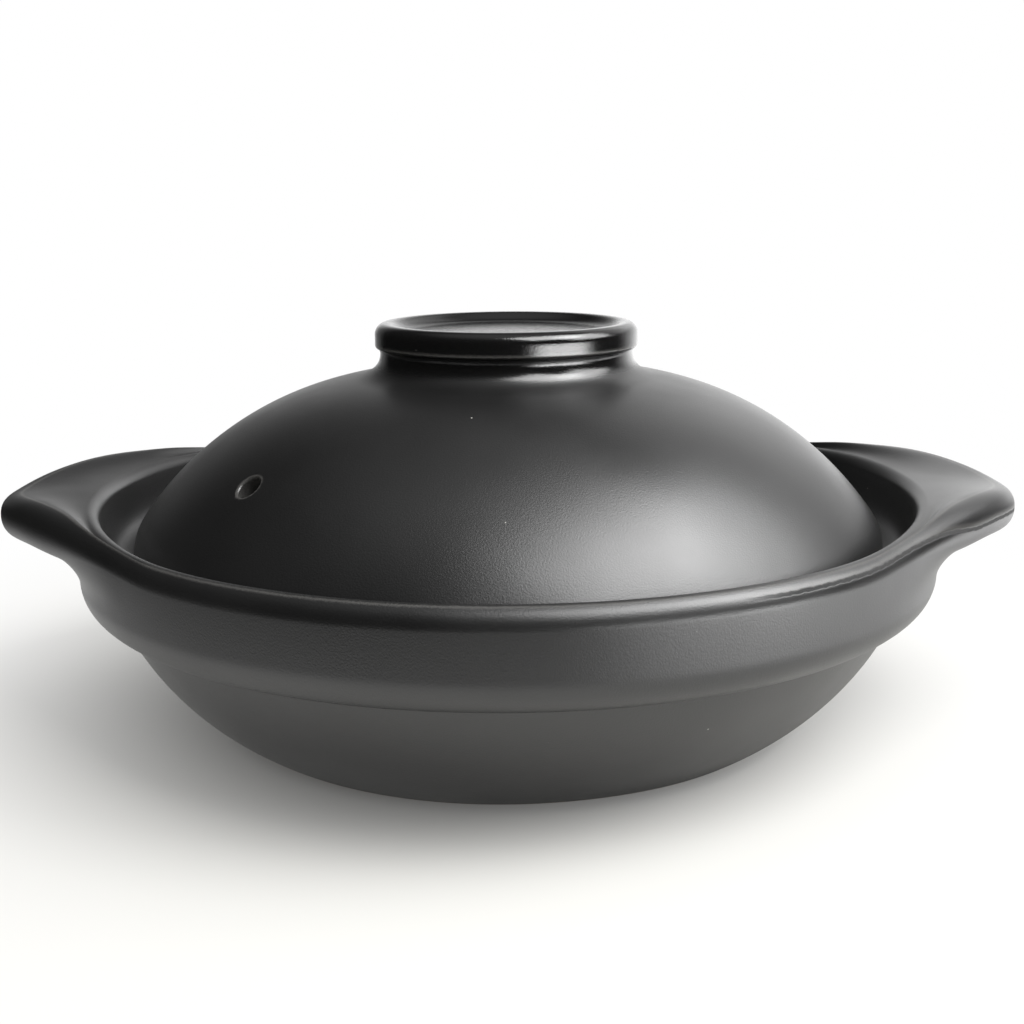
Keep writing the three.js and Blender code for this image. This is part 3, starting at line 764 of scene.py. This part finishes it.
def cut_vent(context, lid, section, sizes):
    """Cuts the steam vent square to the dome, with its outer edge rounded over and its glaze thin there."""
    radius = sizes.radius - sizes.vent_inset
    slope = math.acos((radius - section.dome.x) / sizes.dome_arc)
    bore, flare, deep = sizes.vent_diameter / 2, sizes.vent_flare, sizes.thickness * 2
    rounded = arc(point(bore + flare, -flare), flare, math.pi, QUARTER_TURN, steps=8)
    profile = [point(0, -deep), point(bore, -deep), *rounded, point(bore + flare, deep), point(0, deep)]
    bm = bmesh.new()
    verts = [bm.verts.new((p.x, 0, p.y)) for p in profile]
    wire = [bm.edges.new(pair) for pair in zip(verts, verts[1:])]
    upright = {"cent": (0, 0, 0), "axis": (0, 0, 1)}
    bmesh.ops.spin(bm, geom=verts + wire, **upright, angle=FULL_TURN, steps=48, use_merge=True)
    bmesh.ops.remove_doubles(bm, verts=bm.verts, dist=WELD)
    bmesh.ops.recalc_face_normals(bm, faces=bm.faces)
    place = (
        Matrix.Rotation(sizes.vent_turn, 4, "Z")
        @ Matrix.Translation((radius, 0, section.dome.y + sizes.dome_arc * math.sin(slope)))
        @ Matrix.Rotation(QUARTER_TURN - slope, 4, "Y")
    )
    bmesh.ops.transform(bm, matrix=place, verts=bm.verts)
    for face in bm.faces:
        face.smooth = True
    cutter = finished("vent_cutter", bm, [])
    cut = lid.modifiers.new("vent", "BOOLEAN")
    cut.operation, cut.solver, cut.object = "DIFFERENCE", "EXACT", cutter
    graph = context.evaluated_depsgraph_get()
    vented = lid.evaluated_get(graph)
    mesh = bpy.data.meshes.new_from_object(vented, preserve_all_data_layers=True, depsgraph=graph)
    to_vent = place.inverted()
    for v, edge in zip(mesh.vertices, mesh.attributes["edge_mm"].data):
        near = to_vent @ v.co
        off = abs(math.hypot(near.x, near.y) - bore - flare / 2) / MM
        if abs(near.z) < sizes.thickness / 2:
            edge.value = min(edge.value, off)
    lid.modifiers.clear()
    lid.data = mesh
    bpy.data.objects.remove(cutter)


class CLAYPOT_OT_make_stage(bpy.types.Operator):
    """Makes the studio: pale floor, backdrop, soft lamps and the camera"""

    bl_idname = "clay_pot.make_stage"
    bl_label = "Make Stage"

    def execute(self, context):
        look = context.scene.clay_pot.stage
        make_floor(look)
        make_backdrop(context, look)
        make_lamp(context, "key_lamp", around=51, up=56, size=(0.7, 0.5), watts=look.key_power)
        make_lamp(context, "side_lamp", around=82, up=40, size=(0.6, 0.55), watts=look.side_power)
        make_lamp(context, "back_lamp", around=138, up=38, size=(0.6, 0.5), watts=look.back_power)
        make_camera(context)
        context.scene.view_settings.view_transform = "Standard"
        return {"FINISHED"}


def wall_glow(tree, way, look):
    """The wall behind the pot as reflections see it: dim all along, bright on the right."""
    on_lit = towards(tree, way, TO_LIT_WALL, LIT_WALL_SPREAD)
    bright = add(tree, "ShaderNodeMath", (on_lit, look.back_wall), operation="MULTIPLY")
    on_wall = towards(tree, way, TO_WALL, WALL_SPREAD)
    return add(tree, "ShaderNodeMath", (on_wall, look.dim_wall, bright), operation="MULTIPLY_ADD")


def mirrored_rays(tree, path):
    """The rays that carry what a glossy or clear surface shows."""
    rays = (path.outputs["Is Glossy Ray"], path.outputs["Is Transmission Ray"])
    return add(tree, "ShaderNodeMath", rays, operation="MAXIMUM")


def floor_glow(tree, at, reach, look):
    """The floor's brightness in reflections: even round the pot, then bright on the right with a lamp's pool
    beyond, and the wall's glow or the dim room elsewhere."""
    way = add(tree, "ShaderNodeVectorMath", (at,), operation="NORMALIZE")
    wall = add(tree, "ShaderNodeMath", (wall_glow(tree, way, look), look.room), operation="ADD")
    on_right = towards(tree, way, TO_RIGHT, RIGHT_SPREAD)
    right = add(tree, "ShaderNodeMath", (on_right, look.bright_floor), operation="MULTIPLY")
    on_pool = towards(tree, way, TO_POOL, POOL_SPREAD)
    pool = add(tree, "ShaderNodeMath", (on_pool, look.lamp_pool), operation="MULTIPLY")
    beyond = add(tree, "ShaderNodeMapRange", (reach, *POOL_START), **SOFT_STEP)
    lit = add(tree, "ShaderNodeMix", {AMOUNT: beyond, FROM: right, TO: pool})
    far = add(tree, "ShaderNodeMath", (lit, wall), operation="ADD")
    away = add(tree, "ShaderNodeMapRange", (reach, *NEAR_FLOOR_END), **SOFT_STEP)
    return add(tree, "ShaderNodeMix", {AMOUNT: away, FROM: look.near_floor, TO: far})


def make_floor(look):
    """A matte pale table that keeps the pot's shadow. Away from the pot it fades to the backdrop's white
    where it is seen straight, a painted glow that starts under the pot and lightens that shadow, and to its
    own glow in reflections."""
    bm = bmesh.new()
    bmesh.ops.create_circle(bm, cap_ends=True, segments=96, radius=FLOOR_RADIUS)
    bmesh.ops.translate(bm, verts=bm.verts, vec=(0, 0, -FLOOR_GAP))
    material, tree = new_material("matte_pale_card")
    at = add(tree, "ShaderNodeTexCoord").outputs["Object"]
    tooth = add(tree, "ShaderNodeTexNoise", {"Vector": at, "Scale": 1 / look.tooth, "Detail": 3.0})
    bump = add(tree, "ShaderNodeBump", {"Height": tooth, "Strength": 0.2, "Distance": look.tooth_height})
    card = add(tree, "ShaderNodeBsdfDiffuse", {"Color": rgba(look.floor), "Normal": bump})
    path = add(tree, "ShaderNodeLightPath")
    mirrored = mirrored_rays(tree, path)
    reach = add(tree, "ShaderNodeVectorMath", (at,), operation="LENGTH").outputs["Value"]
    in_mirror = add(tree, "ShaderNodeMapRange", (reach, *MIRRORED_FADE), **SOFT_STEP)
    # Painted light: the white that the camera sees is centred on a stretched and shifted spot, so it lightens
    # the pot's shadow more on some sides than on others
    shadow = (at, SHADOW_SHAPE, SHADOW_SHIFT)
    round_shadow = add(tree, "ShaderNodeVectorMath", shadow, operation="MULTIPLY_ADD")
    from_shadow = add(tree, "ShaderNodeVectorMath", (round_shadow,), operation="LENGTH").outputs["Value"]
    in_view = add(tree, "ShaderNodeMapRange", (from_shadow, *SEEN_FADE), **SOFT_STEP)
    seen = add(tree, "ShaderNodeMath", (path.outputs["Is Camera Ray"], in_view), operation="MULTIPLY")
    fade = add(tree, "ShaderNodeMath", (mirrored, in_mirror, seen), operation="MULTIPLY_ADD")
    glows = {AMOUNT: mirrored, FROM: look.backdrop, TO: floor_glow(tree, at, reach, look)}
    white = {"Color": (1, 1, 1, 1), "Strength": add(tree, "ShaderNodeMix", glows)}
    faded = add(tree, "ShaderNodeMixShader", (fade, card, add(tree, "ShaderNodeEmission", white)))
    add(tree, "ShaderNodeOutputMaterial", {"Surface": faded})
    finished("floor", bm, [material])


def make_backdrop(context, look):
    """White to the camera. Reflections see a wall lit on the right, a soft ceiling and a dim room elsewhere,
    and everything matte gets a soft fill from above."""
    world = bpy.data.worlds.new("studio")
    world.use_nodes = True
    tree = world.node_tree
    tree.nodes.clear()
    way = add(tree, "ShaderNodeTexCoord").outputs["Generated"]
    height = add(tree, "ShaderNodeSeparateXYZ", (way,)).outputs["Z"]
    low = add(tree, "ShaderNodeMapRange", (height, WALL_TOP, 0.0))
    wall = add(tree, "ShaderNodeMath", (wall_glow(tree, way, look), low), operation="MULTIPLY")
    overhead = (height, *CEILING_START, look.room, look.ceiling)
    ceiling = add(tree, "ShaderNodeMapRange", overhead, **SOFT_STEP)
    upward = add(tree, "ShaderNodeMath", (height, 0.0), operation="MAXIMUM")
    strengths = (
        add(tree, "ShaderNodeMath", (upward, look.fill), operation="MULTIPLY"),
        add(tree, "ShaderNodeMath", (wall, ceiling), operation="ADD"),
        look.backdrop,
    )
    lights = [{"Color": (1, 1, 1, 1), "Strength": strength} for strength in strengths]
    fill, room, plain = [add(tree, "ShaderNodeBackground", light) for light in lights]
    path = add(tree, "ShaderNodeLightPath")
    unseen = add(tree, "ShaderNodeMixShader", (mirrored_rays(tree, path), fill, room))
    seen = add(tree, "ShaderNodeMixShader", (path.outputs["Is Camera Ray"], unseen, plain))
    add(tree, "ShaderNodeOutputWorld", {"Surface": seen})
    context.scene.world = world


def make_lamp(context, name, around, up, size, watts):
    """A soft lamp aimed at the pot, so many degrees round to the camera's right and so many up."""
    lamp = bpy.data.lights.new(name, "AREA")
    lamp.shape = "RECTANGLE"
    lamp.size, lamp.size_y = size
    lamp.energy = watts
    made = bpy.data.objects.new(name, lamp)
    context.scene.collection.objects.link(made)
    made.matrix_world = (
        Matrix.Translation((0, 0, LAMP_AIM))
        @ Matrix.Rotation(math.radians(around), 4, "Z")
        @ Matrix.Rotation(QUARTER_TURN - math.radians(up), 4, "X")
        @ Matrix.Translation((0, 0, LAMP_DISTANCE))
    )
    made.visible_camera = False


def make_camera(context):
    """A camera in front, a little above the pot and looking slightly down on it."""
    lens = bpy.data.cameras.new("camera")
    lens.lens, lens.sensor_width = LENS, SENSOR
    lens.clip_start, lens.clip_end = 0.01, 20
    camera = bpy.data.objects.new("camera", lens)
    context.scene.collection.objects.link(camera)
    camera.matrix_world = (
        Matrix.Translation(CAMERA_PLACE)
        @ Matrix.Rotation(CAMERA_PAN, 4, "Z")
        @ Matrix.Rotation(CAMERA_TILT, 4, "X")
        @ Matrix.Rotation(CAMERA_ROLL, 4, "Z")
    )
    context.scene.camera = camera


class CLAYPOT_PT_panel(bpy.types.Panel):
    """Lists the pot's operators and settings"""

    bl_idname = "CLAYPOT_PT_panel"
    bl_label = "Clay Pot"
    bl_space_type = "VIEW_3D"
    bl_region_type = "UI"
    bl_category = "Clay Pot"

    def draw(self, context):
        for operator in OPERATORS:
            self.layout.operator(operator.bl_idname)
        for name in ("pot", "lid", "glaze", "stage"):
            box = self.layout.box()
            group = getattr(context.scene.clay_pot, name)
            for field in group.bl_rna.properties:
                if not field.is_readonly and field.identifier != "name":
                    box.prop(group, field.identifier)


OPERATORS = (CLAYPOT_OT_make_pot, CLAYPOT_OT_make_lid, CLAYPOT_OT_make_stage)
CLASSES = (PotSizes, LidSizes, GlazeLook, StageLook, ClayPotSettings, *OPERATORS, CLAYPOT_PT_panel)


def register():
    for cls in CLASSES:
        bpy.utils.register_class(cls)
    bpy.types.Scene.clay_pot = PointerProperty(type=ClayPotSettings)


def unregister():
    del bpy.types.Scene.clay_pot
    for cls in reversed(CLASSES):
        bpy.utils.unregister_class(cls)


def main():
    register()
    bpy.ops.clay_pot.make_pot()
    bpy.ops.clay_pot.make_lid()
    bpy.ops.clay_pot.make_stage()


if __name__ == "__main__":
    main()
